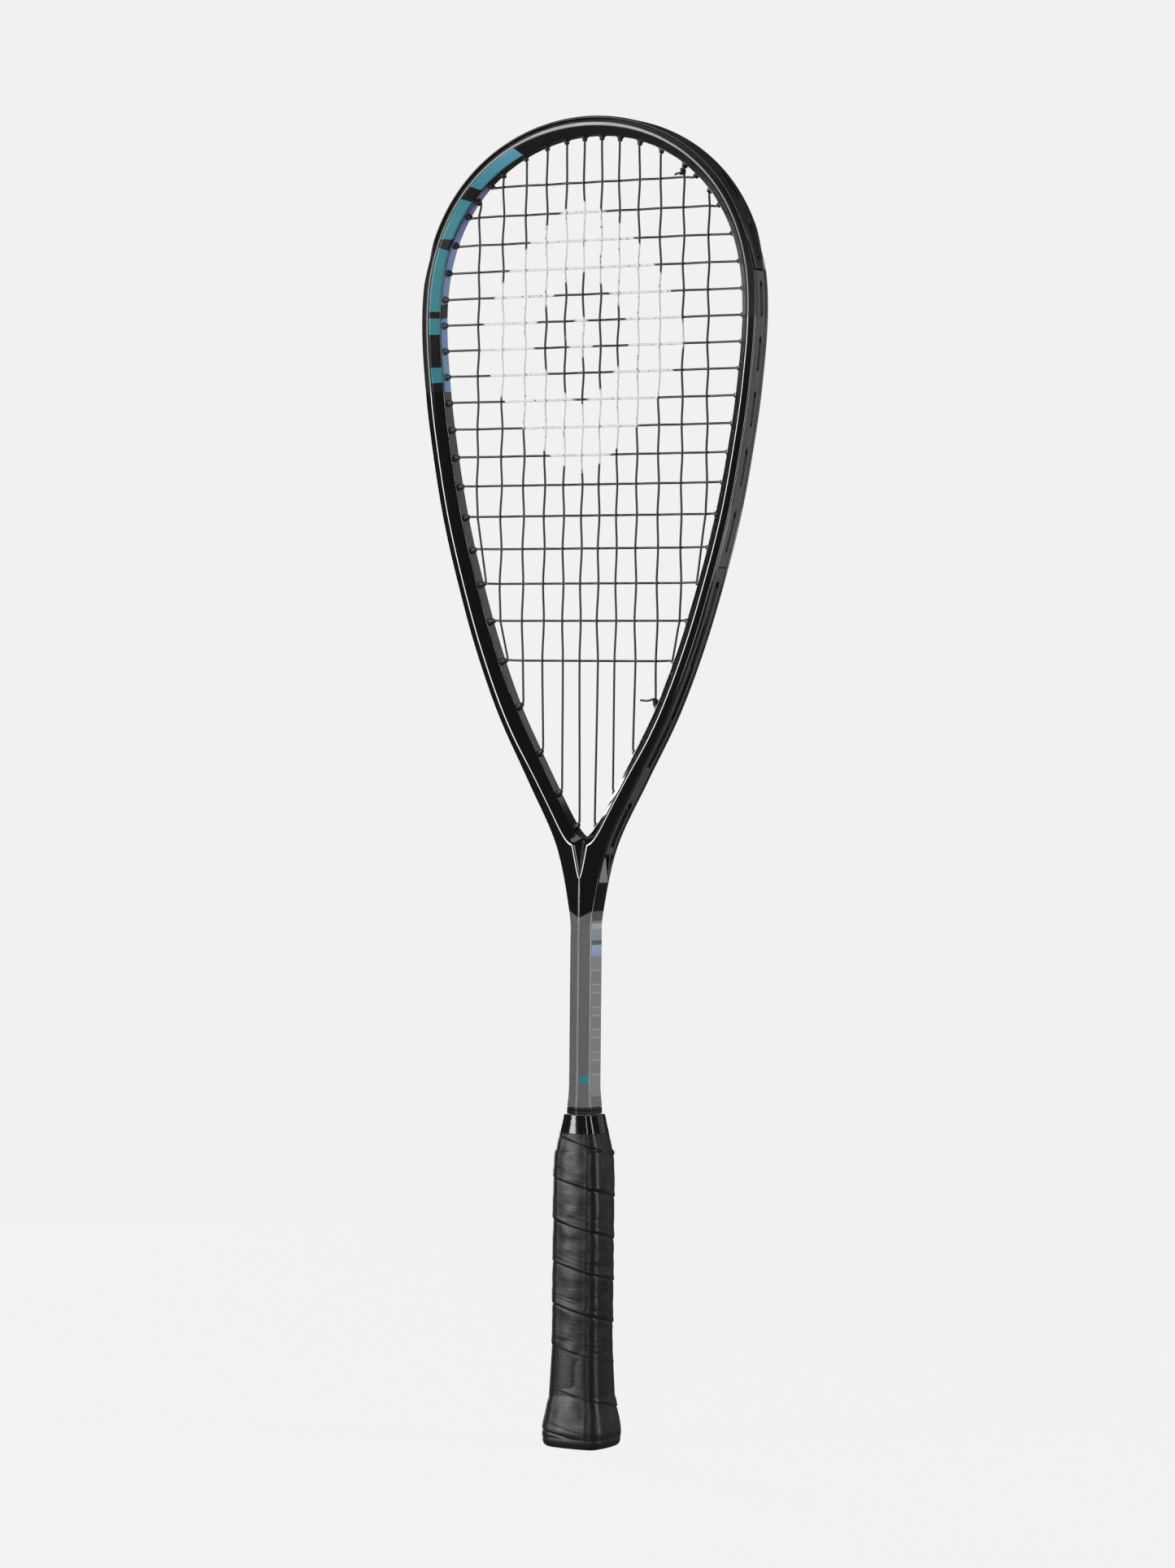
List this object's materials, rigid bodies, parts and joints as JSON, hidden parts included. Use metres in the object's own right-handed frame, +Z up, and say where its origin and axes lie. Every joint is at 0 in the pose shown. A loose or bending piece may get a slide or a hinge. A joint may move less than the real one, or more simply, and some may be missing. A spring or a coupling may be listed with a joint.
{
  "type": "squash racket",
  "caption": "Squash racket with a teardrop head, an open throat, a slim ridged shaft, a woven string bed, a head guard and a spirally wrapped flared grip.",
  "frame": {"origin": "centre of the flat bottom of the butt", "axes": "+Z up the racket from the butt to the crown, +X across the head to the right seen from the front, -Y the front face"},
  "size_m": [0.2002, 0.0322, 0.686],
  "materials": {
    "frame_paint": "painted carbon composite, satin head, gloss throat, gunmetal shaft",
    "bumper_nylon": "moulded, fine matte",
    "grommet_nylon": "moulded, semi matte",
    "string_nylon": "coated multifilament with a printed white stencil",
    "grip_leatherette": "soft polyurethane, fine grain, soft sheen",
    "vinyl_tape": "glossy stretched vinyl",
    "collar_rubber": "satin",
    "handle_foam": "moulded rigid foam, open pored",
    "butt_cap_plastic": "moulded, fine matte",
    "staple_steel": "bright wire"
  },
  "bodies": {
    "root": {"frame": "frame_paint", "bumper_guard": "bumper_nylon", "side_grommet_strip_left": "grommet_nylon", "side_grommet_strip_right": "grommet_nylon", "throat_grommet_strip_left": "grommet_nylon", "throat_grommet_strip_right": "grommet_nylon", "string": "string_nylon", "grip": "grip_leatherette", "finishing_tape": "vinyl_tape", "collar": "collar_rubber", "handle_foam": "handle_foam", "butt_cap": "butt_cap_plastic", "butt_cap_staple_front": "staple_steel", "butt_cap_staple_back": "staple_steel"}
  },
  "joints": []
}
